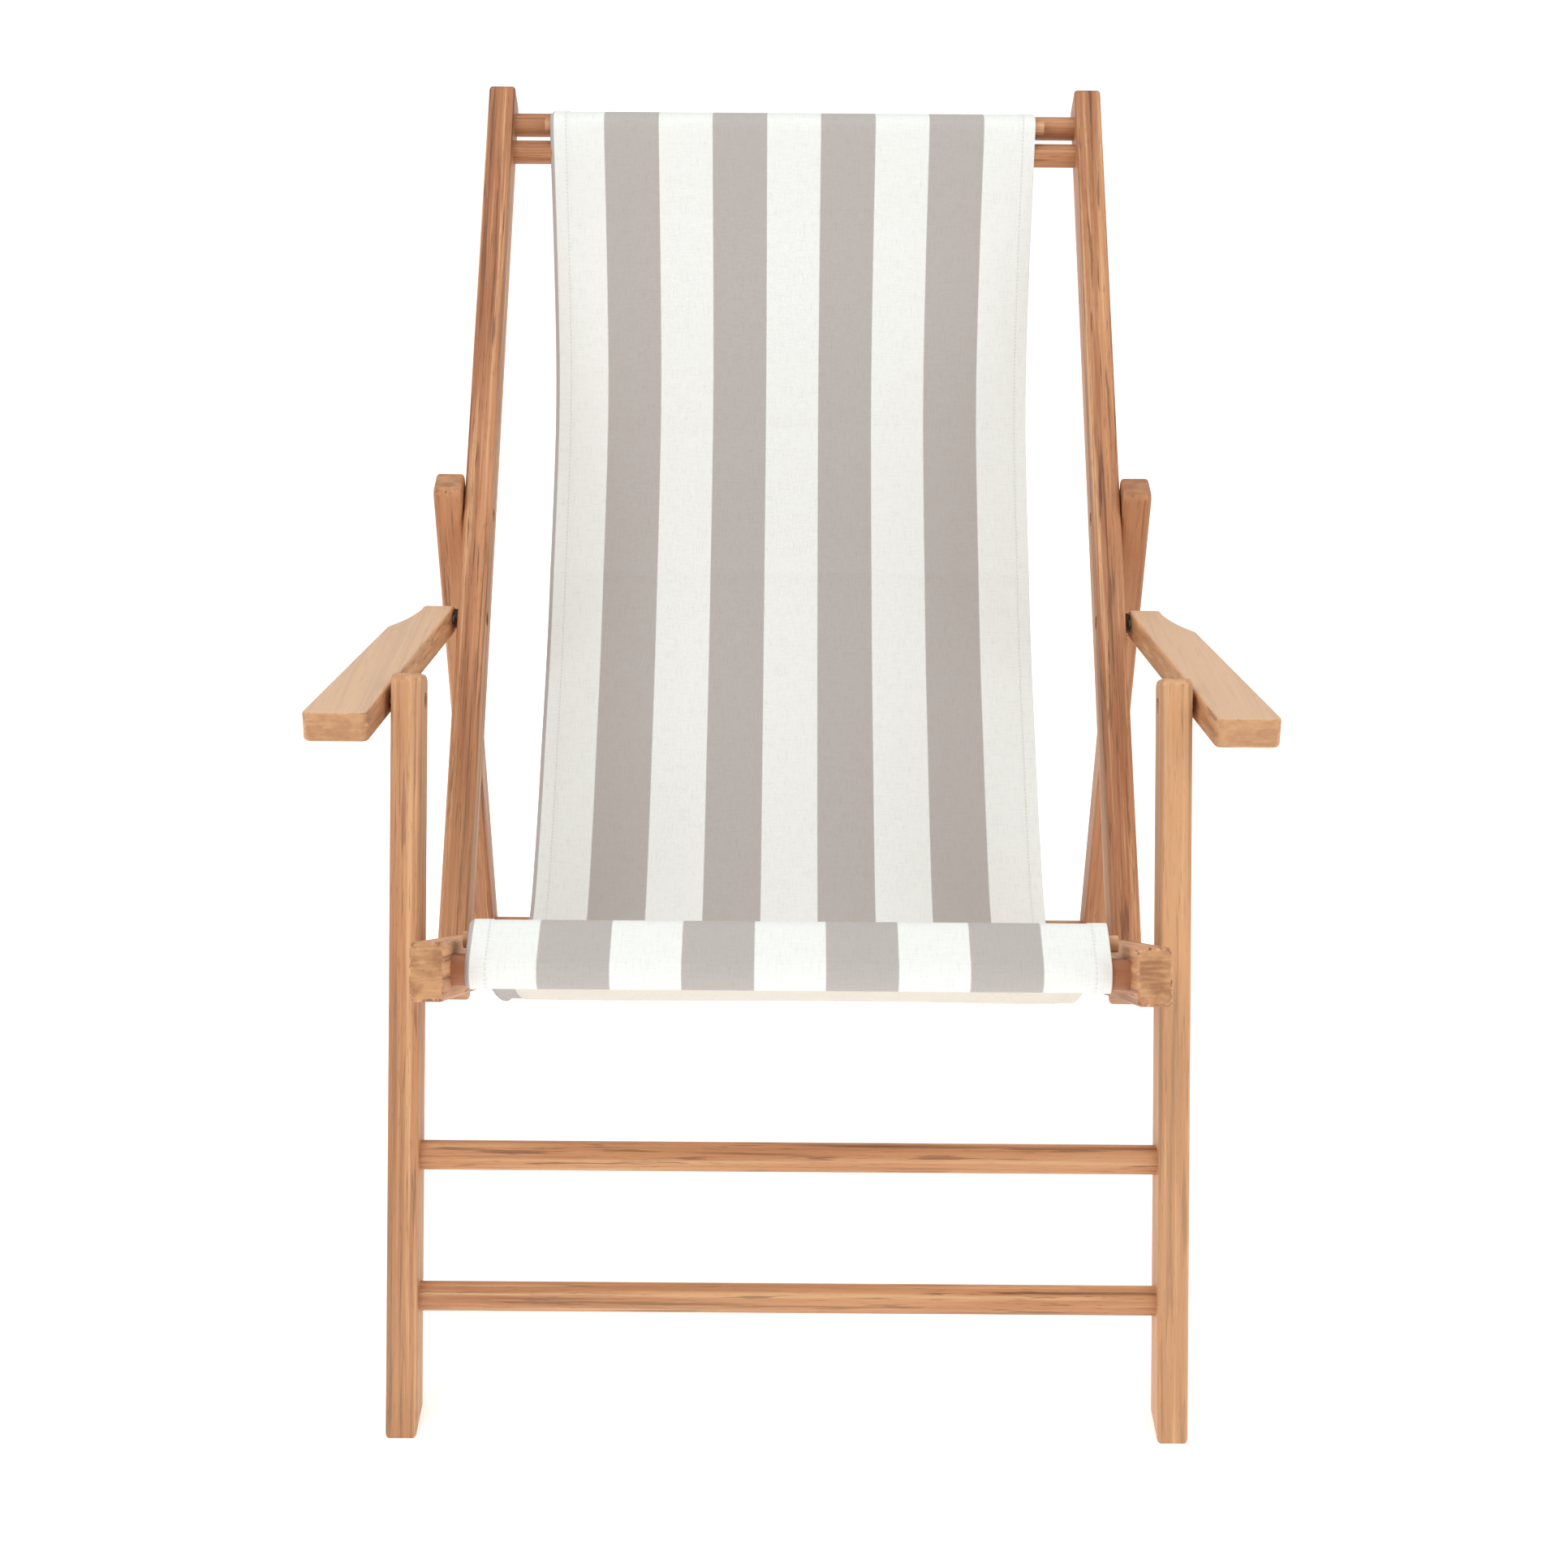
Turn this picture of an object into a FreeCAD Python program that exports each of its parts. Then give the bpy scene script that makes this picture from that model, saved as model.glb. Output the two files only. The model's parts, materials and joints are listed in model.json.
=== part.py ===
"""Folding deck chair with arms: a four-bar frame of flat boards, two props and a hung sling.

Millimetres, +Z up, +Y towards the rear, origin on the floor under the middle of the chair.
Boards stand on edge in three layers on each side: seat rail, back rail, then leg and prop.
"""
import FreeCAD
import Part
import math
import os

VEC = FreeCAD.Vector
X_AXIS = VEC(1, 0, 0)

# Boards and layers
BOARD = 23.0                                  # thickness of every board
AIR = 1.0                                     # air between neighbouring layers
SEAT_X = 225.5                                # inner face of the seat rails
BACK_X = SEAT_X + BOARD + AIR
LEG_X = BACK_X + BOARD + AIR
LEG_OUT_X = LEG_X + BOARD
EDGE_R = 3.0                                  # rounding of the long edges
CENTRE_Y = 383.5                              # from the front foot to the middle of the chair

# Side view of the boards, in a plane whose origin is the front foot
SEAT_WIDTH, SEAT_LENGTH, SEAT_SLOPE = 39.0, 950.0, -26.05
BACK_WIDTH, BACK_LENGTH, BACK_SLOPE = 38.0, 855.2, 43.67
BACK_START = 10.7                             # the back rail's lower end, along its own line
LEG_WIDTH, LEG_LENGTH, LEG_SLOPE = 36.0, 565.4, 66.13
PROP_WIDTH, PROP_HEAD, PROP_TAIL = 34.0, 33.0, 18.0

# Bars, rods and cloth
HEAD_BAR_R = 10.25
STRETCHER_R = 11.0
PROP_BAR_R = 9.0
ROD_R = 5.75
TENON_R, TENON = 8.0, 12.0
ROD_HALF = 221.0
SLING_HALF = 213.0
CLOTH = 2.2
CLOTH_AIR = 0.3

# Fasteners
SHANK_R, RUN_R = 3.0, 3.05
HEAD_R, HEAD_H, HEAD_CHAMFER = 5.2, 4.0, 0.6
SOCKET_R, SOCKET_H = 2.3, 2.2
SINK_R, SINK = 6.0, 7.0                       # recess for a bolt head
NUT_R, NUT_H, NUT_SINK_R = 5.7, 5.0, 7.0
SPACER_R = 8.0

# Arms, in plan: u runs forwards from the rear pivot
ARM_THICK = 23.0
ARM_FRONT_U, ARM_REAR_U = 270.5, -12.0
ARM_OUT_X = 355.0
ARM_IN_FRONT_X, ARM_IN_REAR_X = 306.5, 275.5
ARM_WAIST_U, ARM_WAIST_X = 53.5, 323.8
ARM_TAIL_U, ARM_TAIL_X = 4.0, 303.5
ARM_END_X = 302.0
ARM_NUT_X = 296.0                             # floor of the recess for the rear pivot's nut
ARM_TILT, ARM_DROP = 1.1, 2.0                 # the board against the line through its two pivots
ARM_NOSE_R, ARM_TAIL_R, ARM_EDGE_R = 6.0, 9.0, 3.0
OPEN_PIVOT_R = 6.6                            # oversize hole: the linkage is closed loosely here
OPEN_PIVOT_DEPTH = 34.0


class Board:
    """A straight board in side view: a start point on its centre line, a slope and a width."""

    def __init__(self, start, slope, width):
        self.y, self.z = start
        self.slope = math.radians(slope)
        self.width = width

    def at(self, along, across=0.0):
        cos, sin = math.cos(self.slope), math.sin(self.slope)
        return (self.y + along * cos - across * sin, self.z + along * sin + across * cos)

    def outline(self, start, end):
        half = self.width / 2
        return [self.at(start, -half), self.at(end, -half), self.at(end, half), self.at(start, half)]


SEAT = Board((-64.1 - CENTRE_Y, 423.3), SEAT_SLOPE, SEAT_WIDTH)
BACK = Board((208.2 - CENTRE_Y, 247.6), BACK_SLOPE, BACK_WIDTH)
LEG = Board((16.5 - CENTRE_Y, -7.3), LEG_SLOPE, LEG_WIDTH)

# Pivots and cross bars, in side view
BACK_PIVOT = BACK.at(38.2, -6.0)
LEG_PIVOT = LEG.at(355.7, 6.0)
ARM_FRONT = LEG.at(545.6, -5.0)
ARM_REAR = BACK.at(331.0, 6.0)
PROP_PIVOT = BACK.at(430.0)
REST_S, REST_W = 741.0, 17.3                  # prop bar, along and above the seat rail's centre
PROP_BAR = SEAT.at(REST_S, REST_W)
FRONT_BAR = SEAT.at(42.8)
SECOND_BAR = SEAT.at(71.8)
REAR_BAR = SEAT.at(890.0)
SEAT_ROD = SEAT.at(66.5, 20.0)
LOWER_HEAD_BAR = BACK.at(795.5)
UPPER_HEAD_BAR = BACK.at(824.6)
HEAD_ROD = BACK.at(813.5, 15.8)
STRETCHERS = {"leg_stretcher_lower": LEG.at(102.0), "leg_stretcher_upper": LEG.at(207.0)}
FREE_NOTCHES = (624.0, 683.0)                 # notches for more upright backs
NOTCH_R = PROP_BAR_R + 0.5
NOTCH_DEPTH = 10.0


def prop_board():
    """The prop in side view, from its pivot on the back rail to its bar on the seat rail."""
    dy, dz = PROP_BAR[0] - PROP_PIVOT[0], PROP_BAR[1] - PROP_PIVOT[1]
    return Board(PROP_PIVOT, math.degrees(math.atan2(dz, dy)), PROP_WIDTH), math.hypot(dy, dz)


def face_of(points, x):
    corners = [VEC(x, y, z) for y, z in points]
    return Part.Face(Part.makePolygon(corners + corners[:1]))


def plate(points, x0, x1):
    return face_of(points, x0).extrude(X_AXIS * (x1 - x0))


def rod(centre, radius, x0, x1):
    """A cylinder along X between two planes."""
    return Part.makeCylinder(radius, x1 - x0, VEC(x0, *centre), X_AXIS)


def mirrored(shape):
    return shape.mirror(VEC(0, 0, 0), X_AXIS)


def both_sides(shape):
    return Part.makeCompound([shape, mirrored(shape)])


def is_cross_edge(edge):
    """True for a straight edge that runs across the board's thickness."""
    first, last = edge.Vertexes[0].Point, edge.Vertexes[-1].Point
    return abs(first.y - last.y) < 1e-4 and abs(first.z - last.z) < 1e-4


def round_corners(shape, corners, radius):
    """Round the across-the-board edges that stand on the given side-view corners."""
    def stands_on(edge, corner):
        point = edge.Vertexes[0].Point
        return math.hypot(point.y - corner[0], point.z - corner[1]) < 0.01
    edges = [e for e in shape.Edges if is_cross_edge(e) and any(stands_on(e, c) for c in corners)]
    return shape.makeFillet(radius, edges)


def round_long_edges(shape, radius=EDGE_R):
    """Round every edge that lies flat in one of the two side faces."""
    sides = (shape.BoundBox.XMin, shape.BoundBox.XMax)
    edges = [e for e in shape.Edges
             if e.BoundBox.XLength < 1e-4 and min(abs(e.BoundBox.XMin - x) for x in sides) < 1e-4]
    return shape.makeFillet(radius, edges)


def cut_at_floor(shape):
    """Remove whatever reaches below the floor."""
    box = shape.BoundBox
    below = Part.makeBox(box.XLength + 2, box.YLength + 2, 100, VEC(box.XMin - 1, box.YMin - 1, -100))
    return shape.cut(below).removeSplitter()


def drill(shape, centre, radius, x0, x1):
    return shape.cut(rod(centre, radius, x0, x1))


def bolt(centre, x_head, x_end):
    """A round-head bolt along +X: its head ends at x_head and its shank at x_end."""
    head = rod(centre, HEAD_R, x_head - HEAD_H, x_head)
    rim = [e for e in head.Edges if abs(e.BoundBox.XMax - x_head + HEAD_H) < 1e-4]
    head = head.makeChamfer(HEAD_CHAMFER, rim)
    shape = head.fuse(rod(centre, SHANK_R, x_head, x_end)).removeSplitter()
    return shape.cut(rod(centre, SOCKET_R, x_head - HEAD_H - 1, x_head - HEAD_H + SOCKET_H))


def nut(centre, x0):
    """A hexagon nut from x0 outwards."""
    y, z = centre
    corners = [(y + NUT_R * math.cos(math.radians(60 * i)), z + NUT_R * math.sin(math.radians(60 * i)))
               for i in range(6)]
    return plate(corners, x0, x0 + NUT_H).cut(rod(centre, SHANK_R, x0 - 1, x0 + NUT_H + 1))


def spacer(centre, x0, x1, radius=SPACER_R):
    return rod(centre, radius, x0, x1).cut(rod(centre, SHANK_R, x0 - 1, x1 + 1))


def cross_bar(centre, radius, face_x):
    """A round bar between two inner faces, with a tenon let into the board at each end."""
    bar = rod(centre, radius, -face_x, face_x)
    return bar.fuse(rod(centre, TENON_R, -face_x - TENON, face_x + TENON)).removeSplitter()


def mortise(shape, centre, face_x):
    return drill(shape, centre, TENON_R, face_x - 1, face_x + TENON)


# ---- seat frame -------------------------------------------------------------------------

def rest_notch():
    """The cradle the prop bar lies in, with a low lip and an eased run-out behind it."""
    above = SEAT_WIDTH
    lip_w = REST_W - PROP_BAR_R * math.cos(math.radians(46))
    runout_w = REST_W - PROP_BAR_R + 0.6
    ease = [SEAT.at(REST_S, above), SEAT.at(REST_S, lip_w), SEAT.at(REST_S + 7.4, lip_w),
            SEAT.at(REST_S + 12.0, runout_w), SEAT.at(REST_S + 68.0, SEAT_WIDTH / 2 + 0.1),
            SEAT.at(REST_S + 68.0, above)]
    cradle = rod(PROP_BAR, PROP_BAR_R + CLOTH_AIR, SEAT_X - 1, BACK_X)
    return cradle.fuse(plate(ease, SEAT_X - 1, BACK_X))


def free_notch(along):
    """A full-depth notch: a half-round floor with straight walls up to the top edge."""
    floor_w = SEAT_WIDTH / 2 - NOTCH_DEPTH + NOTCH_R
    walls = [SEAT.at(along - NOTCH_R, floor_w), SEAT.at(along + NOTCH_R, floor_w),
             SEAT.at(along + NOTCH_R, 40.0), SEAT.at(along - NOTCH_R, 40.0)]
    half_round = rod(SEAT.at(along, floor_w), NOTCH_R, SEAT_X - 1, BACK_X)
    return half_round.fuse(plate(walls, SEAT_X - 1, BACK_X))


def seat_rail():
    shape = plate(SEAT.outline(0.0, SEAT_LENGTH), SEAT_X, SEAT_X + BOARD)
    shape = cut_at_floor(shape)
    half = SEAT_WIDTH / 2
    shape = round_corners(shape, [SEAT.at(0, -half), SEAT.at(0, half)], 5.0)
    shape = round_corners(shape, [SEAT.at(SEAT_LENGTH, half)], 8.0)
    shape = round_long_edges(shape)
    for bar in (FRONT_BAR, SECOND_BAR, REAR_BAR):
        shape = mortise(shape, bar, SEAT_X)
    for pivot in (BACK_PIVOT, LEG_PIVOT):
        shape = drill(shape, pivot, SHANK_R, SEAT_X - 1, BACK_X)
        shape = drill(shape, pivot, SINK_R, SEAT_X - 1, SEAT_X + SINK)
    shape = shape.cut(rest_notch())
    for along in FREE_NOTCHES:
        shape = shape.cut(free_notch(along))
    return shape


# ---- back frame, legs, props and arms -----------------------------------------------------

def back_rail():
    outline = BACK.outline(BACK_START, BACK_LENGTH)
    shape = round_corners(plate(outline, BACK_X, BACK_X + BOARD), outline, 6.0)
    shape = round_long_edges(shape)
    for bar in (LOWER_HEAD_BAR, UPPER_HEAD_BAR):
        shape = mortise(shape, bar, BACK_X)
    outer = BACK_X + BOARD
    shape = drill(shape, BACK_PIVOT, RUN_R, BACK_X - 1, outer + 1)
    shape = drill(shape, BACK_PIVOT, NUT_SINK_R, outer - SINK, outer + 1)
    for pivot in (ARM_REAR, PROP_PIVOT):
        shape = drill(shape, pivot, SHANK_R, BACK_X - 1, outer + 1)
        shape = drill(shape, pivot, SINK_R, BACK_X - 1, BACK_X + SINK)
    return shape


def front_leg():
    outline = LEG.outline(0.0, LEG_LENGTH)
    shape = plate(LEG.outline(-40.0, LEG_LENGTH), LEG_X, LEG_OUT_X)
    shape = cut_at_floor(shape)
    shape = round_corners(shape, outline[1:3], 8.0)
    shape = round_long_edges(shape)
    for centre in STRETCHERS.values():
        shape = mortise(shape, centre, LEG_X)
    shape = drill(shape, LEG_PIVOT, RUN_R, LEG_X - 1, LEG_OUT_X + 1)
    shape = drill(shape, LEG_PIVOT, NUT_SINK_R, LEG_OUT_X - SINK, LEG_OUT_X + 1)
    shape = drill(shape, ARM_FRONT, SHANK_R, LEG_X - 1, LEG_OUT_X + 1)
    return drill(shape, ARM_FRONT, SINK_R, LEG_X - 1, LEG_X + SINK)


def prop_leg():
    board, reach = prop_board()
    outline = board.outline(-PROP_HEAD, reach + PROP_TAIL)
    shape = round_corners(plate(outline, LEG_X, LEG_OUT_X), outline, 8.0)
    shape = round_long_edges(shape)
    shape = mortise(shape, PROP_BAR, LEG_X)
    shape = drill(shape, PROP_PIVOT, RUN_R, LEG_X - 1, LEG_OUT_X + 1)
    return drill(shape, PROP_PIVOT, NUT_SINK_R, LEG_OUT_X - SINK, LEG_OUT_X + 1)


def arm_edge_x(u):
    """X of the arm's inner edge at u."""
    share = (u - ARM_REAR_U) / (ARM_FRONT_U - ARM_REAR_U)
    return ARM_IN_REAR_X + share * (ARM_IN_FRONT_X - ARM_IN_REAR_X)


def arm():
    """A flat board whose outer edge draws in with a hollow curve towards the rear pivot."""
    def plan(x, u):
        return VEC(x, -u, -ARM_THICK / 2)
    inner_rear, inner_front = plan(ARM_IN_REAR_X, ARM_REAR_U), plan(ARM_IN_FRONT_X, ARM_FRONT_U)
    outer_front, waist = plan(ARM_OUT_X, ARM_FRONT_U), plan(ARM_WAIST_X, ARM_WAIST_U)
    tail, end = plan(ARM_TAIL_X, ARM_TAIL_U), plan(ARM_END_X, ARM_REAR_U)
    hollow = Part.BezierCurve()
    hollow.setPoles([waist, plan(ARM_WAIST_X - 11, ARM_WAIST_U - 18),
                     plan(ARM_TAIL_X + 5, ARM_TAIL_U + 22), tail])
    edges = [Part.LineSegment(inner_rear, inner_front).toShape(),
             Part.LineSegment(inner_front, outer_front).toShape(),
             Part.LineSegment(outer_front, waist).toShape(), hollow.toShape(),
             Part.LineSegment(tail, end).toShape(), Part.LineSegment(end, inner_rear).toShape()]
    shape = Part.Face(Part.Wire(edges)).extrude(VEC(0, 0, ARM_THICK))
    nose = [e for e in shape.Edges if e.BoundBox.ZLength > 1 and e.BoundBox.XLength < 1e-4
            and e.BoundBox.YMin < -ARM_FRONT_U + 0.01]
    shape = shape.makeFillet(ARM_NOSE_R, nose)
    back_end = [e for e in shape.Edges if e.BoundBox.ZLength < 1e-4 and e.BoundBox.YMin > -ARM_REAR_U - 0.01]
    shape = shape.makeFillet(ARM_TAIL_R, back_end)
    rim = [e for e in shape.Edges if abs(abs(e.BoundBox.ZMin) - ARM_THICK / 2) < 1e-4
           and e.BoundBox.ZLength < 1e-4 and e.BoundBox.YMin < -ARM_REAR_U - ARM_TAIL_R - 0.1]
    shape = shape.makeFillet(ARM_EDGE_R, rim)
    slope = math.degrees(math.atan2(ARM_FRONT[1] - ARM_REAR[1], ARM_REAR[0] - ARM_FRONT[0]))
    shape.translate(VEC(0, 0, -ARM_DROP))
    shape.rotate(VEC(0, 0, 0), X_AXIS, -slope - ARM_TILT)
    shape.translate(VEC(0, *ARM_REAR))
    shape = drill(shape, ARM_REAR, RUN_R, ARM_IN_REAR_X - 5, ARM_OUT_X)
    shape = drill(shape, ARM_REAR, NUT_SINK_R, ARM_NUT_X, ARM_OUT_X)
    return drill(shape, ARM_FRONT, OPEN_PIVOT_R, ARM_IN_REAR_X, ARM_IN_FRONT_X + OPEN_PIVOT_DEPTH)


# ---- sling --------------------------------------------------------------------------------

def arc_points(centre, radius, start, end, step=30.0):
    """Points on a circle from one angle to another, in degrees, both ends included."""
    count = max(2, int(round(abs(end - start) / step)))
    angles = [math.radians(start + (end - start) * i / count) for i in range(count + 1)]
    return [(centre[0] + radius * math.cos(a), centre[1] + radius * math.sin(a)) for a in angles]


def cloth_band(points):
    """A closed strip of cloth around a smooth centre line."""
    spine = Part.BSplineCurve()
    spine.interpolate([VEC(0, y, z) for y, z in points])
    samples = 6 * len(points)
    sides = {1: [], -1: []}
    for i in range(samples + 1):
        u = spine.FirstParameter + (spine.LastParameter - spine.FirstParameter) * i / samples
        point, tangent = spine.value(u), spine.tangent(u)[0]
        normal = VEC(0, -tangent.z, tangent.y)
        for sign, row in sides.items():
            row.append(point + normal * (sign * CLOTH / 2))
    edges = []
    for row in sides.values():
        curve = Part.BSplineCurve()
        curve.interpolate(row)
        edges.append(curve.toShape())
    for i in (0, -1):
        edges.append(Part.LineSegment(sides[1][i], sides[-1][i]).toShape())
    wire = Part.Wire(Part.__sortEdges__(edges))
    band = Part.Face(wire).extrude(X_AXIS * (2 * SLING_HALF))
    band.translate(X_AXIS * -SLING_HALF)
    return band if band.Volume > 0 else band.reversed()


HEM_R = ROD_R + CLOTH_AIR + CLOTH / 2         # cloth centre line round a hem rod
OVER_R = HEM_R + CLOTH + CLOTH_AIR            # the main cloth over the hem
KNEE_SLACK = 3.5                              # the thick seam under the cloth at the knee
BAR_WRAP_R = HEAD_BAR_R + CLOTH_AIR + CLOTH / 2

# The free run of the cloth's two halves, which meet in mid seat; y is measured from the front foot
BACK_RUN = [(300.5, 232.0), (380.0, 243.5), (450.0, 283.0), (520.0, 336.0), (588.0, 393.0), (640.0, 458.0),
            (688.0, 545.0), (732.0, 650.0), (765.0, 742.0)]
SEAT_RUN = [(299.5, 232.0), (230.0, 248.0), (165.0, 280.0), (107.0, 320.5), (60.0, 364.0), (30.0, 399.0)]


def sling_back():
    """From the middle of the seat up the back, over the upper head bar and round the hem rod."""
    run = [(y - CENTRE_Y, z) for y, z in BACK_RUN]
    over_rod = arc_points(HEAD_ROD, OVER_R, 170, 100)
    round_bar = arc_points(UPPER_HEAD_BAR, BAR_WRAP_R, 80, -115)
    hem = arc_points(HEAD_ROD, HEM_R, -70, -345)
    return cloth_band(run + over_rod + round_bar + hem)


def sling_seat():
    """From the middle of the seat forwards, over the front bar and round the hem rod."""
    run = [(y - CENTRE_Y, z) for y, z in SEAT_RUN]
    over_rod = arc_points(SEAT_ROD, OVER_R + KNEE_SLACK, 30, 95)
    round_bar = arc_points(FRONT_BAR, BAR_WRAP_R, 100, 325)
    hem = arc_points(SEAT_ROD, HEM_R, 240, 515)
    return cloth_band(run + over_rod + round_bar + hem)


# ---- fasteners ----------------------------------------------------------------------------

def fasteners():
    """Every bolt, nut and spacer of the right side, by node name."""
    outer = BACK_X + BOARD
    arm_in = arm_edge_x(0.0)
    leg_to_arm = arm_edge_x(ARM_REAR[0] - ARM_FRONT[0])
    return {
        "back_pivot_bolts": bolt(BACK_PIVOT, SEAT_X + SINK, outer - 1.5),
        "back_pivot_nuts": nut(BACK_PIVOT, outer - SINK + 0.4),
        "leg_pivot_bolts": bolt(LEG_PIVOT, SEAT_X + SINK, LEG_OUT_X - 1.5),
        "leg_pivot_spacers": spacer(LEG_PIVOT, SEAT_X + BOARD, LEG_X - 0.2),
        "leg_pivot_nuts": nut(LEG_PIVOT, LEG_OUT_X - SINK + 0.4),
        "arm_front_bolts": bolt(ARM_FRONT, LEG_X + SINK, leg_to_arm + OPEN_PIVOT_DEPTH - 2),
        "arm_front_washers": spacer(ARM_FRONT, LEG_OUT_X, leg_to_arm - 1.2),
        "arm_rear_bolts": bolt(ARM_REAR, BACK_X + SINK, ARM_END_X - 0.5),
        "arm_rear_spacers": spacer(ARM_REAR, outer, arm_in - 1.1),
        "arm_rear_nuts": nut(ARM_REAR, ARM_NUT_X + 0.4),
        "prop_pivot_bolts": bolt(PROP_PIVOT, BACK_X + SINK, LEG_OUT_X - 1.5),
        "prop_pivot_washers": spacer(PROP_PIVOT, outer, LEG_X - 0.2),
        "prop_pivot_nuts": nut(PROP_PIVOT, LEG_OUT_X - SINK + 0.4),
    }


def build():
    """Every node of the chair, by name."""
    nodes = {}
    for name, make in (("seat_rail", seat_rail), ("back_rail", back_rail), ("front_leg", front_leg),
                       ("prop_leg", prop_leg), ("arm", arm)):
        right = make()
        nodes[name + "_right"] = right
        nodes[name + "_left"] = mirrored(right)
    for name, centre in (("seat_front_bar", FRONT_BAR), ("seat_second_bar", SECOND_BAR),
                         ("seat_rear_bar", REAR_BAR)):
        nodes[name] = cross_bar(centre, HEAD_BAR_R, SEAT_X)
    for name, centre in (("head_bar_lower", LOWER_HEAD_BAR), ("head_bar_upper", UPPER_HEAD_BAR)):
        nodes[name] = cross_bar(centre, HEAD_BAR_R, BACK_X)
    for name, centre in STRETCHERS.items():
        nodes[name] = cross_bar(centre, STRETCHER_R, LEG_X)
    nodes["prop_bar"] = cross_bar(PROP_BAR, PROP_BAR_R, LEG_X)
    nodes["head_hem_rod"] = rod(HEAD_ROD, ROD_R, -ROD_HALF, ROD_HALF)
    nodes["seat_hem_rod"] = rod(SEAT_ROD, ROD_R, -ROD_HALF, ROD_HALF)
    nodes["sling_back"] = sling_back()
    nodes["sling_seat"] = sling_seat()
    for name, shape in fasteners().items():
        nodes[name] = both_sides(shape)
    return nodes


os.makedirs("parts", exist_ok=True)
for node, solid in build().items():
    solid.exportStep("parts/" + node + ".step")
    box = solid.BoundBox
    print(f"{node}: valid {solid.isValid()}, solids {len(solid.Solids)}, {solid.Volume / 1000:.1f} cm3, "
          f"y {box.YMin:.1f}..{box.YMax:.1f}, z {box.ZMin:.1f}..{box.ZMax:.1f}")
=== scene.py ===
"""Looks of the folding deck chair: teak boards with grain, and a striped canvas sling hung on its bars."""
import json
import math

import bpy
import numpy as np
from mathutils import Matrix, Vector, noise


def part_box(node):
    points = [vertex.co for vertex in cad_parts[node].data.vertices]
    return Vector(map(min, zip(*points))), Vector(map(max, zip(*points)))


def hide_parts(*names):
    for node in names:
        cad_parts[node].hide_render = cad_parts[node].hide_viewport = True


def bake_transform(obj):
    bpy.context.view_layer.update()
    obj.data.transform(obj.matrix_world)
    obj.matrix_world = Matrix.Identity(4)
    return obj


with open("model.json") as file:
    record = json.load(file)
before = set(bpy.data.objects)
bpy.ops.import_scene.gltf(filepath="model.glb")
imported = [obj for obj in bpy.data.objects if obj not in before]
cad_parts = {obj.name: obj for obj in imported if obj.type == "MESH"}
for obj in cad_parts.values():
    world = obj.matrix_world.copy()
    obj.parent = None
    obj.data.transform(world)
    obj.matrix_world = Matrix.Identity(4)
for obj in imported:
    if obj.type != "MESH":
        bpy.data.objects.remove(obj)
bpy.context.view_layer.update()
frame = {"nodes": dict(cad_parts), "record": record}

NODES = frame["nodes"]
MM = 0.001


# ---- shader helpers ---------------------------------------------------------------------------

def linear(*srgb):
    """An sRGB colour, 0 to 255, as linear RGBA."""
    def channel(value):
        value /= 255
        return value / 12.92 if value <= 0.04045 else ((value + 0.055) / 1.055) ** 2.4
    return tuple(channel(v) for v in srgb) + (1.0,)


class Shader:
    """A material's node tree, with one short call per kind of node."""

    def __init__(self, name, roughness):
        self.material = bpy.data.materials.new(name)
        self.material.use_nodes = True
        self.tree = self.material.node_tree
        self.surface = self.tree.nodes["Principled BSDF"]
        self.surface.inputs["Roughness"].default_value = roughness

    def add(self, kind, inputs=(), **settings):
        node = self.tree.nodes.new("ShaderNode" + kind)
        for key, value in settings.items():
            setattr(node, key, value)
        for key, value in dict(inputs).items():
            self.feed(node.inputs[key], value)
        return node

    def feed(self, socket, value):
        if isinstance(value, bpy.types.NodeSocket):
            self.tree.links.new(value, socket)
        else:
            socket.default_value = value

    def math(self, operation, *values):
        return self.add("Math", enumerate(values), operation=operation).outputs[0]

    def noise(self, vector, scale, detail, rough):
        inputs = {"Vector": vector, "Scale": scale, "Detail": detail, "Roughness": rough}
        return self.add("TexNoise", inputs).outputs["Fac"]

    def stretched(self, vector, squeeze, detail, rough):
        """Noise squeezed by a different amount along each axis."""
        place = self.add("Mapping", {"Vector": vector, "Scale": squeeze}).outputs[0]
        return self.noise(place, 1.0, detail, rough)

    def band(self, value, low, high):
        """0 below low, 1 above high, smooth between."""
        inputs = {"Value": value, "From Min": low, "From Max": high}
        return self.add("MapRange", inputs, interpolation_type="SMOOTHSTEP").outputs[0]

    def mix(self, share, first, second, blend="MIX"):
        node = self.add("Mix", data_type="RGBA", blend_type=blend)
        for index, value in ((0, share), (6, first), (7, second)):
            self.feed(node.inputs[index], value)
        return node.outputs[2]

    def bump(self, height, distance, strength=1.0, under=None):
        inputs = {"Height": height, "Distance": distance, "Strength": strength}
        if under is not None:
            inputs["Normal"] = under
        return self.add("Bump", inputs).outputs[0]

    def finish(self, colour, roughness=None, normal=None):
        self.feed(self.surface.inputs["Base Color"], colour)
        if roughness is not None:
            self.feed(self.surface.inputs["Roughness"], roughness)
        if normal is not None:
            self.feed(self.surface.inputs["Normal"], normal)
        return self.material


# ---- teak -------------------------------------------------------------------------------------

ALONG_X = Vector((1.0, 0.0, 0.0))

TEAK_MID = linear(199, 139, 94)
TEAK_DARK = linear(160, 100, 62)
TEAK_PALE = linear(222, 174, 128)
TEAK_STREAK = linear(84, 41, 22)
# the tone of faces that point up: weathered grey, with painted light from above
TEAK_WEATHERED_AND_LIT = linear(219, 193, 166)
TEAK_END = linear(196, 146, 100)
TEAK_END_DARK = linear(158, 108, 70)

BOARD_SHIFT = (0.731, 1.913, 0.377)           # from one board's timber to the next one's, in metres

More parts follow.
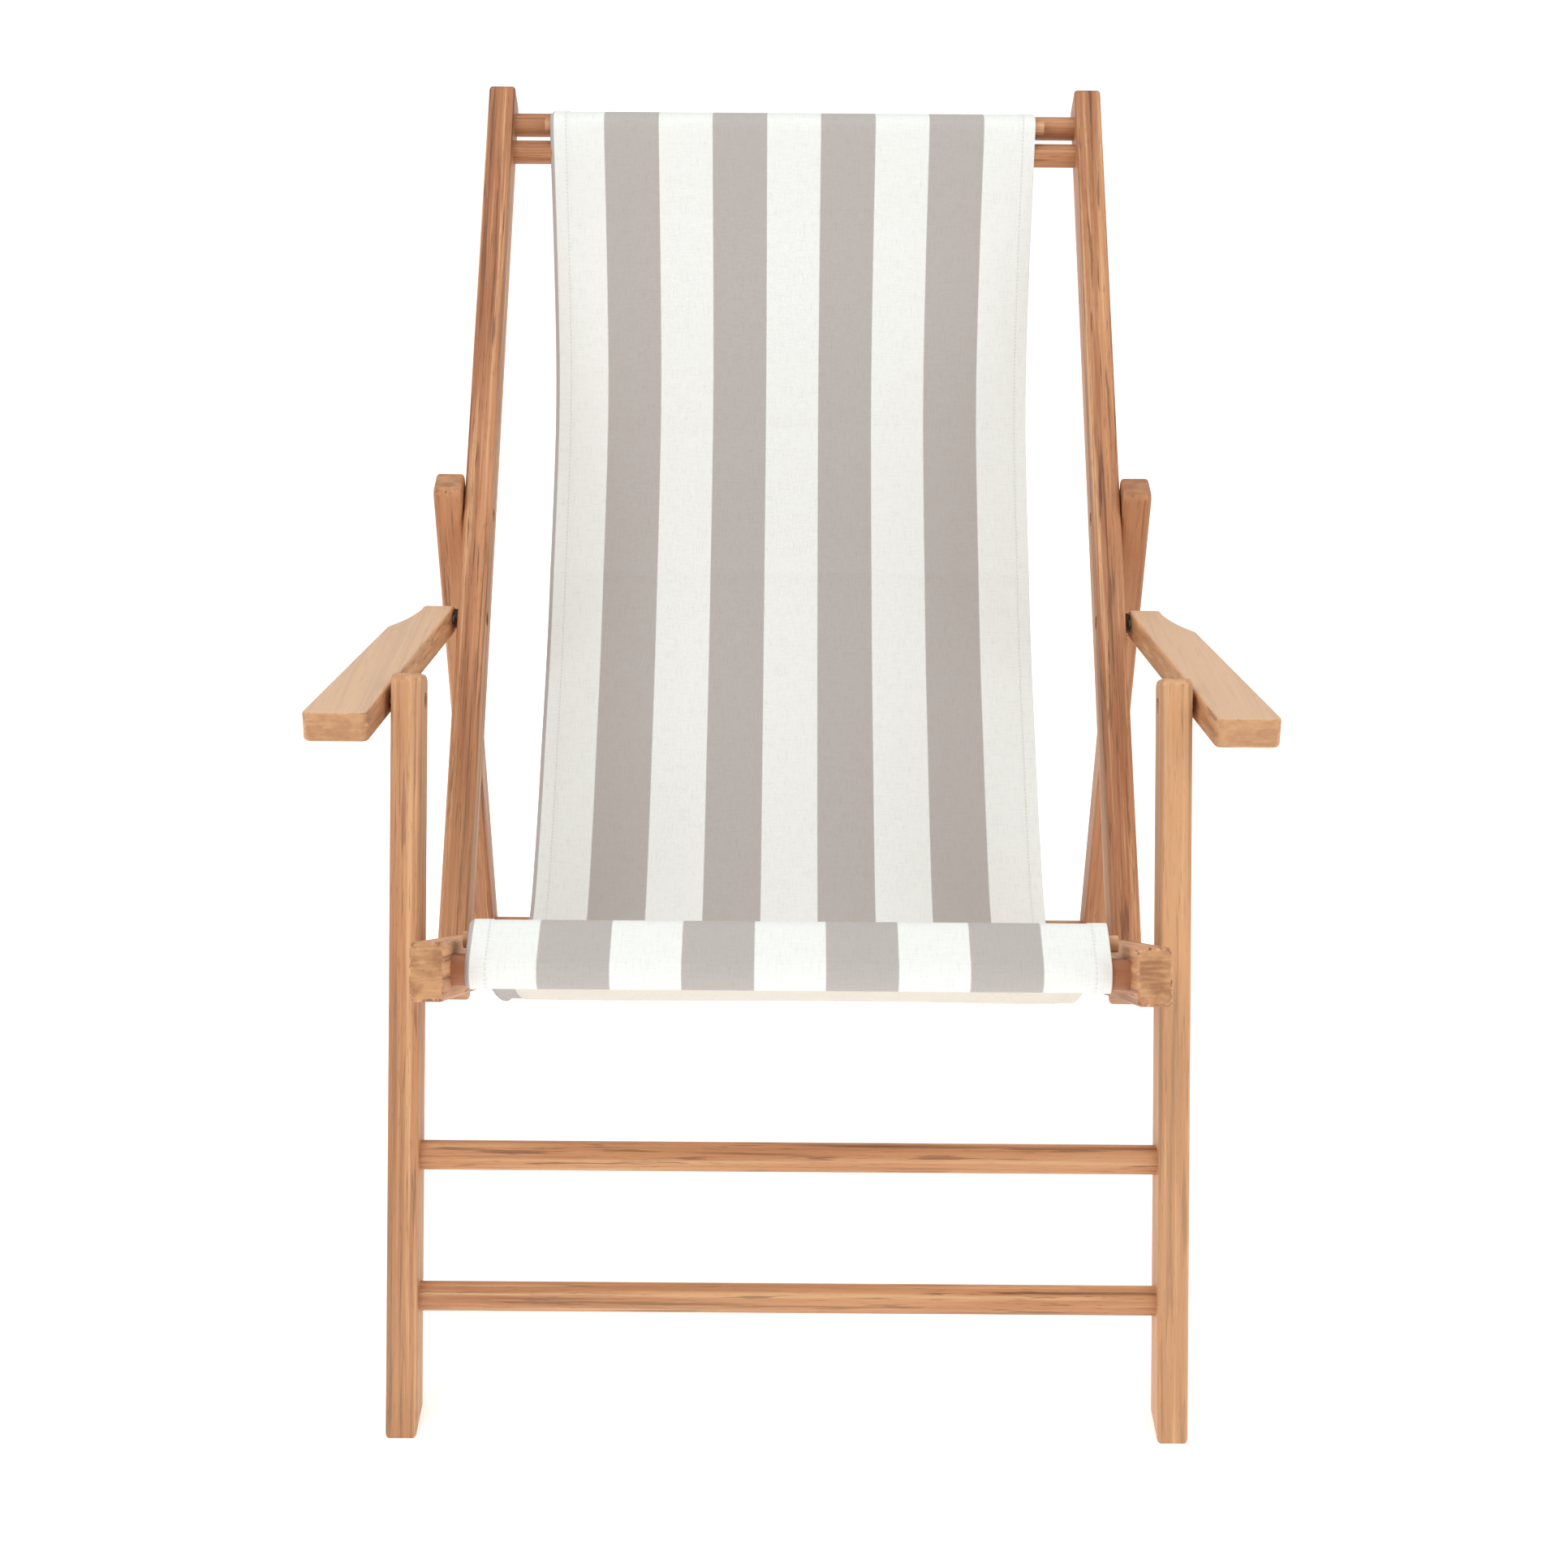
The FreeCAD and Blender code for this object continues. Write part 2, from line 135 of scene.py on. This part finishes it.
# The noises in the timber: how much each is squeezed across, along and across the board again, then
# its detail and its roughness
NOISES = {"figure": ((30, 1.3, 30), 3.0, 0.6),
          "rings": ((170, 2.6, 170), 5.0, 0.62),
          "fibre": ((900, 14, 900), 4.0, 0.6),
          "fleck": ((300, 11, 300), 3.0, 0.6),
          "pores": ((1500, 60, 1500), 2.0, 0.5),
          "blotch": ((9, 3, 9), 2.0, 0.5),
          "end_cloud": ((55, 20, 90), 3.0, 0.6),
          "end_rings": ((28, 10, 330), 3.0, 0.5)}
FIGURE_BAND, CLOUD_BAND, PORE_BAND = (0.36, 0.58), (0.35, 0.65), (0.63, 0.70)

# The marks on a board: the noise behind each, where it begins and is full, its strength and its tone
BOARD_MARKS = (("rings", 0.50, 0.66, 0.80, TEAK_PALE),
               ("rings", 0.46, 0.35, 0.75, TEAK_STREAK),
               ("fibre", 0.42, 0.62, 0.16, TEAK_PALE),
               ("fleck", 0.57, 0.66, 0.65, TEAK_STREAK),
               ("pores", *PORE_BAND, 0.40, TEAK_STREAK),
               ("blotch", 0.38, 0.70, 0.24, TEAK_PALE))
END_MARKS = (("end_rings", 0.50, 0.70, 0.35, TEAK_PALE),
             ("crack", 0.012, 0.0, 0.45, TEAK_DARK))
FACES_UP, FACES_END = (0.55, 0.95), (0.72, 0.95)          # how squarely a face points up, or along the grain

# Boards lighter than the rest, and darker ones with a minus; the seat front and second bars are darkened as
# painted shade, for the shade they sit in under the rail and the cloth
PALE = {"arm_left": 0.28, "arm_right": 0.34, "front_leg_left": 0.20, "front_leg_right": 0.42,
        "prop_leg_right": -0.55, "prop_leg_left": -0.15, "seat_front_bar": -0.90, "seat_second_bar": -0.60,
        "head_bar_upper": -0.45, "head_bar_lower": -0.30, "leg_stretcher_upper": -0.10,
        "head_hem_rod": 0.35, "seat_hem_rod": 0.35}
ARM_WEATHER_AND_TOP_LIGHT = 0.70                             # how far the arms' tops are greyed and lightened: partly weathering, partly painted light from above
FIBRE_DEPTH = 0.12 * MM
PORE_DEPTH = 0.18 * MM


def marked(shader, colour, timber, marks):
    """The colour with each mark laid over it in turn."""
    for kind, begin, full, strength, tone in marks:
        share = shader.math("MULTIPLY", shader.band(timber[kind], begin, full), strength)
        colour = shader.mix(share, colour, tone)
    return colour


def board_place(shader, coords, grain, seed):
    """The point in the board's own timber: Y along the grain, shifted so that no two boards match."""
    if grain == ALONG_X:
        turn = (0.0, 0.0, math.pi / 2)
    else:
        turn = (-math.atan2(grain.z, grain.y), 0.0, 0.0)
    shift = tuple(seed * step for step in BOARD_SHIFT)
    return shader.add("Mapping", {"Vector": coords.outputs["Object"], "Rotation": turn,
                                  "Location": shift}).outputs[0]


def teak(name, grain, seed, pale, weather_and_top_light):
    """Oiled teak whose fibres run along grain, a unit vector.

    A positive pale lightens the whole board and a negative one darkens it, as painted shade on the seat
    bars; the last argument greys and lightens what faces up, partly as weathering and partly as painted
    light from above.
    """
    shader = Shader(name, 0.5)
    coords = shader.add("TexCoord")
    place = board_place(shader, coords, grain, seed)
    timber = {kind: shader.stretched(place, *shape) for kind, shape in NOISES.items()}
    timber["crack"] = shader.math("ABSOLUTE", shader.math("SUBTRACT", timber["end_rings"], 0.5))
    side = shader.mix(shader.band(timber["figure"], *FIGURE_BAND), TEAK_DARK, TEAK_MID)
    side = marked(shader, side, timber, BOARD_MARKS)
    # faces that point up turn greyer and lighter: partly weathering, partly painted light from above
    upward = shader.add("SeparateXYZ", {0: coords.outputs["Normal"]}).outputs[2]
    weathered_and_lit = shader.math("MULTIPLY", shader.band(upward, *FACES_UP), weather_and_top_light)
    side = shader.mix(weathered_and_lit, side, TEAK_WEATHERED_AND_LIT)
    end = shader.mix(shader.band(timber["end_cloud"], *CLOUD_BAND), TEAK_END_DARK, TEAK_END)
    end = marked(shader, end, timber, END_MARKS)
    facing = shader.add("VectorMath", {0: coords.outputs["Normal"], 1: tuple(grain)},
                        operation="DOT_PRODUCT").outputs["Value"]
    is_end = shader.band(shader.math("ABSOLUTE", facing), *FACES_END)
    colour = shader.mix(is_end, side, end)
    # a negative pale darkens the whole board: on the seat front and second bars this is painted shade
    colour = shader.mix(abs(pale), colour, TEAK_PALE if pale > 0 else TEAK_DARK)
    rough = shader.add("MapRange", {"Value": timber["fibre"], "To Min": 0.42, "To Max": 0.62}).outputs[0]
    relief = shader.bump(timber["fibre"], FIBRE_DEPTH, 0.55)
    pore = shader.band(timber["pores"], *PORE_BAND)
    relief = shader.bump(shader.math("SUBTRACT", 1.0, pore), PORE_DEPTH, 0.6, relief)
    return shader.finish(colour, rough, relief)


def board_direction(name):
    """The direction a board's fibres run in: its longest direction in side view."""
    points = np.array([vertex.co for vertex in NODES[name].data.vertices])[:, 1:]
    centred = points - points.mean(0)
    long_axis = np.linalg.svd(centred, full_matrices=False)[2][0]
    return Vector((0.0, long_axis[0], long_axis[1])).normalized()


def paint(name, material):
    mesh = NODES[name].data
    mesh.materials.clear()
    mesh.materials.append(material)


def paint_teak():
    wooden = [s["node"] for s in frame["record"]["subparts"] if s["material_slot"] == "teak"]
    for seed, name in enumerate(sorted(wooden), start=1):
        crosswise = "bar" in name or "rod" in name or "stretcher" in name
        grain = ALONG_X if crosswise else board_direction(name)
        weather_and_top_light = ARM_WEATHER_AND_TOP_LIGHT if name.startswith("arm_") else 0.0
        paint(name, teak("teak_" + name, grain, seed, PALE.get(name, 0.0), weather_and_top_light))


ZINC = (linear(120, 118, 114), linear(176, 174, 170))
# dark brown tones for the spacers and washers: painted shade for the dark slot the spacers sit in
SLOT_SHADE_TONES = (linear(44, 34, 28), linear(70, 54, 44))
STEEL_CLOUDS = 260.0                          # per metre


def steel(name, low, high):
    """Metal whose colour wanders between two tones."""
    shader = Shader(name, 0.38)
    shader.surface.inputs["Metallic"].default_value = 1.0
    coords = shader.add("TexCoord").outputs["Object"]
    cloud = shader.noise(coords, STEEL_CLOUDS, 4.0, 0.6)
    colour = shader.mix(cloud, low, high)
    rough = shader.add("MapRange", {"Value": cloud, "To Min": 0.3, "To Max": 0.5}).outputs[0]
    return shader.finish(colour, rough, shader.bump(cloud, 0.00005, 0.4))


def paint_steel():
    bright = steel("zinc_steel", *ZINC)
    slot_shaded = steel("slot_shade_steel", *SLOT_SHADE_TONES)
    for part in frame["record"]["subparts"]:
        if part["material_slot"] == "steel":
            name = part["node"]
            # spacers and washers take the dark steel, as painted shade
            paint(name, slot_shaded if "spacer" in name or "washer" in name else bright)


# ---- sling ------------------------------------------------------------------------------------

CLOTH = 1.1 * MM                              # its thickness
HALF_WIDTH = 213 * MM
STRIPE = 48 * MM                              # the width of one stripe
SIDE_HEM = 13 * MM
HEM_LIFT = 0.45 * MM                          # the doubled side hem stands off the cloth by this much
HEM_RISE = 0.7 * MM                           # and it steps up over this width
EDGE_TURN = 0.8 * MM                          # the width of the hem's rounded edge
LEFT_FOLD = 3.5 * MM                          # grey cloth that shows where the left side is turned in
FOLD_DROP = 2.5 * MM                          # how far that turned edge falls away
ROW_STEP = 5 * MM
COLUMN_STEP = 6 * MM
ARC_STEP = 12                                 # degrees
PER_SPAN = 16                                 # points between two given ones, before they are evened out
CAD_CLOTH, CAD_AIR = 2.2 * MM, 0.3 * MM       # the plain solid that this sheet replaces
KNEE_SLACK = 3.5 * MM                         # the thick seam under the cloth at the knee

# The free run of the cloth in side view, as y and z in mm, from the knee and on up the back
SEAT_RUN = ((-353.5, 399), (-323.5, 364), (-276.5, 320.5), (-218.5, 280), (-153.5, 248), (-83.5, 232))
BACK_RUN = ((-3.5, 243.5), (66.5, 283), (136.5, 336), (204.5, 393), (256.5, 458), (304.5, 545),
            (348.5, 650), (381.5, 742))
FREE_FROM, FREE_TO, FREE_FADE = -0.34, 0.385, 0.05        # y where the cloth hangs free of the bars
WAIST_Z, WAIST_SPREAD, WAIST_IN = 0.60, 0.13, 4.5 * MM    # where, and how much, the free back draws in

# Slow waves in the free cloth: size in mm, how tight they are across and along it, and a seed
WAVES = ((1.6, 5.0, 4.0, 2.7), (0.5, 16.0, 7.0, 8.1))

# Creases across the back: height in metres, and size in mm
CREASES = ((0.722, 1.3), (0.566, -1.2), (0.455, 1.8))
CREASE_WIDTH, CREASE_WANDER = 0.007, 0.008    # metres


def bar_centre(name):
    """A crossbar's middle in side view, and its radius."""
    low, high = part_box(name)
    middle = (low + high) / 2
    return np.array([middle.y, middle.z]), (high.z - low.z) / 2


def arc(centre, radius, start, end):
    """Points on a circle in side view, from one angle to another in degrees."""
    count = max(2, round(abs(end - start) / ARC_STEP))
    turn = np.radians(np.linspace(start, end, count + 1))
    return [centre + radius * np.array([math.cos(a), math.sin(a)]) for a in turn]


def smooth_line(points, step):
    """An even row of points on a smooth curve through the given ones."""
    points = np.array(points)
    padded = np.vstack([2 * points[0] - points[1], points, 2 * points[-1] - points[-2]])
    fine = []
    for p0, p1, p2, p3 in zip(padded, padded[1:], padded[2:], padded[3:]):
        gaps = [max(np.linalg.norm(b - a), 1e-9) ** 0.5 for a, b in ((p0, p1), (p1, p2), (p2, p3))]
        t0, t1 = 0.0, gaps[0]
        t2, t3 = t1 + gaps[1], t1 + gaps[1] + gaps[2]
        for t in np.linspace(t1, t2, PER_SPAN, endpoint=False):
            a1 = (t1 - t) / (t1 - t0) * p0 + (t - t0) / (t1 - t0) * p1
            a2 = (t2 - t) / (t2 - t1) * p1 + (t - t1) / (t2 - t1) * p2
            a3 = (t3 - t) / (t3 - t2) * p2 + (t - t2) / (t3 - t2) * p3
            b1 = (t2 - t) / (t2 - t0) * a1 + (t - t0) / (t2 - t0) * a2
            b2 = (t3 - t) / (t3 - t1) * a2 + (t - t1) / (t3 - t1) * a3
            fine.append((t2 - t) / (t2 - t1) * b1 + (t - t1) / (t2 - t1) * b2)
    fine.append(points[-1])
    fine = np.array(fine)
    along = np.concatenate([[0], np.cumsum(np.linalg.norm(np.diff(fine, axis=0), axis=1))])
    even = np.linspace(0, along[-1], round(along[-1] / step) + 1)
    return np.column_stack([np.interp(even, along, fine[:, k]) for k in (0, 1)]), even


def sling_line():
    """The cloth's side view from its hem at the knee, through the seat, to its hem at the head."""
    seat_rod, rod_r = bar_centre("seat_hem_rod")
    front_bar, bar_r = bar_centre("seat_front_bar")
    head_rod = bar_centre("head_hem_rod")[0]
    head_bar = bar_centre("head_bar_upper")[0]
    hem_r = rod_r + CAD_AIR + CAD_CLOTH / 2
    over_r = hem_r + CAD_CLOTH + CAD_AIR
    wrap_r = bar_r + CAD_AIR + CAD_CLOTH / 2
    knee = (arc(seat_rod, hem_r, 515, 240) + arc(front_bar, wrap_r, 325, 100)
            + arc(seat_rod, over_r + KNEE_SLACK, 95, 30))
    head = (arc(head_rod, over_r, 170, 100) + arc(head_bar, wrap_r, 80, -115)
            + arc(head_rod, hem_r, -70, -345))
    run = [np.array(point) * MM for point in SEAT_RUN + BACK_RUN]
    return smooth_line(knee + run + head, ROW_STEP)


def half_width_at(z, y):
    """Half the cloth's width: it draws in a little over the free part of the back."""
    waist = math.exp(-((z - WAIST_Z) / WAIST_SPREAD) ** 2) if y > -0.1 else 0.0
    return HALF_WIDTH - WAIST_IN * waist


def cloth_relief(x, y, z, along):
    """How far the cloth stands off its smooth line, in metres."""
    if not FREE_FROM < y < FREE_TO:
        return 0.0
    wave_lift = sum(noise.noise(Vector((x * tight, along * tight_along, seed))) * size * MM
                    for size, tight, tight_along, seed in WAVES)
    crease = 0.0
    if y > 0.0:
        for height, size in CREASES:
            wander = CREASE_WANDER * noise.noise(Vector((x * 6.0, height * 9.0, 0.0)))
            crease += size * MM * math.exp(-abs(z - height - wander) / CREASE_WIDTH)
    fade = min(1.0, (y - FREE_FROM) / FREE_FADE, (FREE_TO - y) / FREE_FADE)
    return (wave_lift + crease) * fade


def columns():
    """Places across the cloth, in metres: even in the middle, closer at the hems and the left fold."""
    inner = HALF_WIDTH - SIDE_HEM
    count = round(2 * inner / COLUMN_STEP)
    middle = [-inner + 2 * inner * i / count for i in range(count + 1)]
    side = [inner + HEM_RISE, inner + SIDE_HEM / 2, HALF_WIDTH - EDGE_TURN, HALF_WIDTH]
    fold = [HALF_WIDTH + LEFT_FOLD * share for share in (1.0, 0.8, 0.4)]
    return [-s for s in fold] + [-s for s in reversed(side)] + middle + side


def build_sling():
    """The sling as one sheet, and the length of its cloth."""
    line, along = sling_line()
    tangent = np.gradient(line, axis=0)
    tangent /= np.linalg.norm(tangent, axis=1)[:, None]
    across = columns()
    vertices, uvs = [], []
    for (y, z), (ty, tz), v in zip(line, tangent, along):
        normal = Vector((0.0, -tz, ty))
        spread = half_width_at(z, y) / HALF_WIDTH
        for u in across:
            lift = cloth_relief(u, y, z, v)
            if abs(u) > HALF_WIDTH - SIDE_HEM + HEM_RISE / 2:
                lift += HEM_LIFT
            lift -= FOLD_DROP * max(0.0, (abs(u) - HALF_WIDTH) / LEFT_FOLD) ** 2
            vertices.append(Vector((u * spread, y, z)) + normal * (lift + CLOTH / 2))
            uvs.append((u, v))
    width = len(across)
    faces = [(r * width + c, r * width + c + 1, (r + 1) * width + c + 1, (r + 1) * width + c)
             for r in range(len(line) - 1) for c in range(width - 1)]
    mesh = bpy.data.meshes.new("sling")
    mesh.from_pydata(vertices, [], faces)
    layer = mesh.uv_layers.new(name="cloth")
    for loop in mesh.loops:
        layer.data[loop.index].uv = uvs[loop.vertex_index]
    sling = bpy.data.objects.new("sling", mesh)
    bpy.context.scene.collection.objects.link(sling)
    mesh.materials.append(canvas(True))
    mesh.materials.append(canvas(False))
    thicken(sling)
    sling.data.polygons.foreach_set("use_smooth", [True] * len(sling.data.polygons))
    return sling, along[-1]


def thicken(sling):
    """Gives the sheet its thickness; the under side and the edges take the plain cloth."""
    solid = sling.modifiers.new("thickness", "SOLIDIFY")
    solid.thickness = CLOTH
    solid.offset = -1.0
    solid.material_offset = 1
    solid.material_offset_rim = 1
    bpy.context.view_layer.objects.active = sling
    bpy.ops.object.modifier_apply(modifier=solid.name)


WHITE_YARN = linear(241, 243, 239)
CREAM_YARN = linear(236, 232, 218)
UNDYED_YARN = linear(231, 226, 214)
GREY_YARN = linear(186, 180, 175)
# multiplied in as painted shade in the weave's hollows and around the thick threads
YARN_SHADE = linear(210, 210, 207)
THREAD = linear(214, 208, 198)
WARP_PITCH, WEFT_PITCH, STITCH_PITCH = 1.1 * MM, 1.3 * MM, 3.4 * MM
STITCH_INSET = SIDE_HEM - 2.5 * MM            # from the cloth's edge to its row of stitches
GREY_HALF, STRIPE_BLUR = 0.252, 0.005         # half of a grey stripe, and its soft edge, in stripe pairs
WEAVE_DEPTH, STITCH_DEPTH = 0.12 * MM, 0.4 * MM
SLUB, SLUB_ACROSS = (900, 70, 1), (70, 900, 1)            # the thick threads' noise, squeezed
FRAY, FRAY_SCALE = 0.008, 900.0               # how far a stripe's edge strays, in stripe pairs
THREAD_SHADE, SLUB_SHADE, SLUB_ACROSS_SHADE, STITCH_TONE = 0.16, 0.22, 0.16, 0.35


def wave(shader, place, pitch):
    """A sine wave along one direction of the cloth."""
    return shader.math("SINE", shader.math("MULTIPLY", place, 2 * math.pi / pitch))


def canvas(striped):
    """Plain-weave canvas: white with grey stripes on the face, cream with a grey left hem on the back."""
    shader = Shader("canvas_striped" if striped else "canvas_plain", 0.85)
    coords = shader.add("UVMap", uv_map="cloth").outputs[0]
    split = shader.add("SeparateXYZ", {0: coords})
    u, v = split.outputs[0], split.outputs[1]
    weave = shader.math("MULTIPLY", wave(shader, u, WARP_PITCH), wave(shader, v, WEFT_PITCH))
    slub = shader.stretched(coords, SLUB, 3.0, 0.6)
    slub_across = shader.stretched(coords, SLUB_ACROSS, 3.0, 0.6)
    if striped:
        fray = shader.math("MULTIPLY", shader.noise(coords, FRAY_SCALE, 2.0, 0.55), FRAY)
        phase = shader.math("FRACT", shader.math("ADD", shader.math("DIVIDE", u, 2 * STRIPE), fray))
        middle = shader.math("ABSOLUTE", shader.math("SUBTRACT", phase, 0.5))
        folded = shader.band(u, -HALF_WIDTH + 0.3 * MM, -HALF_WIDTH - 0.5 * MM)
        stripe = shader.band(middle, GREY_HALF + STRIPE_BLUR, GREY_HALF - STRIPE_BLUR)
        colour = shader.mix(shader.math("MAXIMUM", stripe, folded), WHITE_YARN, GREY_YARN)
    else:
        colour = shader.mix(shader.noise(coords, 9.0, 3.0, 0.6), CREAM_YARN, UNDYED_YARN)
        hem_edge = SIDE_HEM - HALF_WIDTH
        turned_in = shader.band(u, hem_edge + 0.5 * MM, hem_edge - 0.5 * MM)
        colour = shader.mix(turned_in, colour, GREY_YARN)
    # painted shade: the weave's hollows and the thick threads are darkened by multiplying
    threads = shader.math("MULTIPLY", shader.band(weave, 0.2, -0.9), THREAD_SHADE)
    colour = shader.mix(threads, colour, YARN_SHADE, "MULTIPLY")
    for yarn, strength in ((slub, SLUB_SHADE), (slub_across, SLUB_ACROSS_SHADE)):
        thick = shader.math("MULTIPLY", shader.band(yarn, 0.5, 0.72), strength)
        colour = shader.mix(thick, colour, YARN_SHADE, "MULTIPLY")
    side = shader.math("ABSOLUTE", u)
    seam = shader.math("ABSOLUTE", shader.math("SUBTRACT", side, HALF_WIDTH - STITCH_INSET))
    dash = shader.band(wave(shader, v, STITCH_PITCH), -0.5, 0.1)
    stitch = shader.math("MULTIPLY", shader.band(seam, 0.8 * MM, 0.3 * MM), dash)
    colour = shader.mix(shader.math("MULTIPLY", stitch, STITCH_TONE), colour, THREAD)
    relief = shader.bump(weave, WEAVE_DEPTH, 0.6)
    relief = shader.bump(shader.math("ADD", slub, slub_across), WEAVE_DEPTH, 0.5, relief)
    relief = shader.bump(stitch, STITCH_DEPTH, 0.7, relief)
    shader.surface.inputs["Sheen Weight"].default_value = 0.12
    return shader.finish(colour, None, relief)


# ---- camera, light and floor ------------------------------------------------------------------

LENS = 59.63
EYE = (-0.0053, -1.9409, 1.2197)
DOWNWARD, ROLL = 23.87, 0.4                   # degrees
MIDDLE = (0, 0, 0.4)                          # the point that the front lights face

# Each square light: its name, where it is, what it faces, its side in metres and its watts
AREA_LIGHTS = (("key", (-1.6, -1.8, 2.6), MIDDLE, 1.8, 25),
               ("fill", (1.9, -1.6, 1.8), MIDDLE, 1.8, 13),
               ("top", (0, 0.5, 3.0), (0, 0, 0.3), 2.4, 10))
WHITE = (1.0, 1.0, 1.0, 1.0)
SKY = 0.74
FLOOR_SIZE = 24                               # metres, so that its far edge is out of the picture
FLOOR_MIDDLE = (0, 4.0, 0)
FLOOR_PAINT = (0.92, 0.92, 0.92, 1.0)
FLOOR_GLOW = 0.42                             # keeps the floor white behind and under the chair


def add_camera():
    camera = bpy.data.cameras.new("camera")
    camera.lens = LENS
    camera.clip_end = 50
    view = bpy.data.objects.new("camera", camera)
    place = Matrix.Translation(EYE)
    tilt = Matrix.Rotation(math.radians(90 - DOWNWARD), 4, "X")
    roll = Matrix.Rotation(math.radians(ROLL), 4, "Z")
    view.matrix_world = place @ tilt @ roll
    bpy.context.scene.collection.objects.link(view)
    bpy.context.scene.camera = view


def add_area_light(name, place, target, side, power):
    light = bpy.data.lights.new(name, "AREA")
    light.size = side
    light.energy = power
    lamp = bpy.data.objects.new(name, light)
    lamp.location = place
    lamp.rotation_euler = (Vector(target) - Vector(place)).to_track_quat("-Z", "Y").to_euler()
    bpy.context.scene.collection.objects.link(lamp)


def add_studio():
    world = bpy.data.worlds.new("studio")
    bpy.context.scene.world = world
    world.use_nodes = True
    background = world.node_tree.nodes["Background"]
    background.inputs["Color"].default_value = WHITE
    background.inputs["Strength"].default_value = SKY
    for lamp in AREA_LIGHTS:
        add_area_light(*lamp)
    bpy.ops.mesh.primitive_plane_add(size=FLOOR_SIZE, location=FLOOR_MIDDLE)
    floor = bpy.context.object
    floor.name = "floor"
    shader = Shader("floor", 0.9)
    shader.surface.inputs["Emission Color"].default_value = WHITE
    shader.surface.inputs["Emission Strength"].default_value = FLOOR_GLOW
    floor.data.materials.append(shader.finish(FLOOR_PAINT))
    bpy.context.scene.view_settings.view_transform = "Standard"


# ---- assembly ---------------------------------------------------------------------------------

paint_teak()
paint_steel()
sling, cloth_length = build_sling()
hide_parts("sling_back", "sling_seat")
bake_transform(sling)
add_camera()
add_studio()
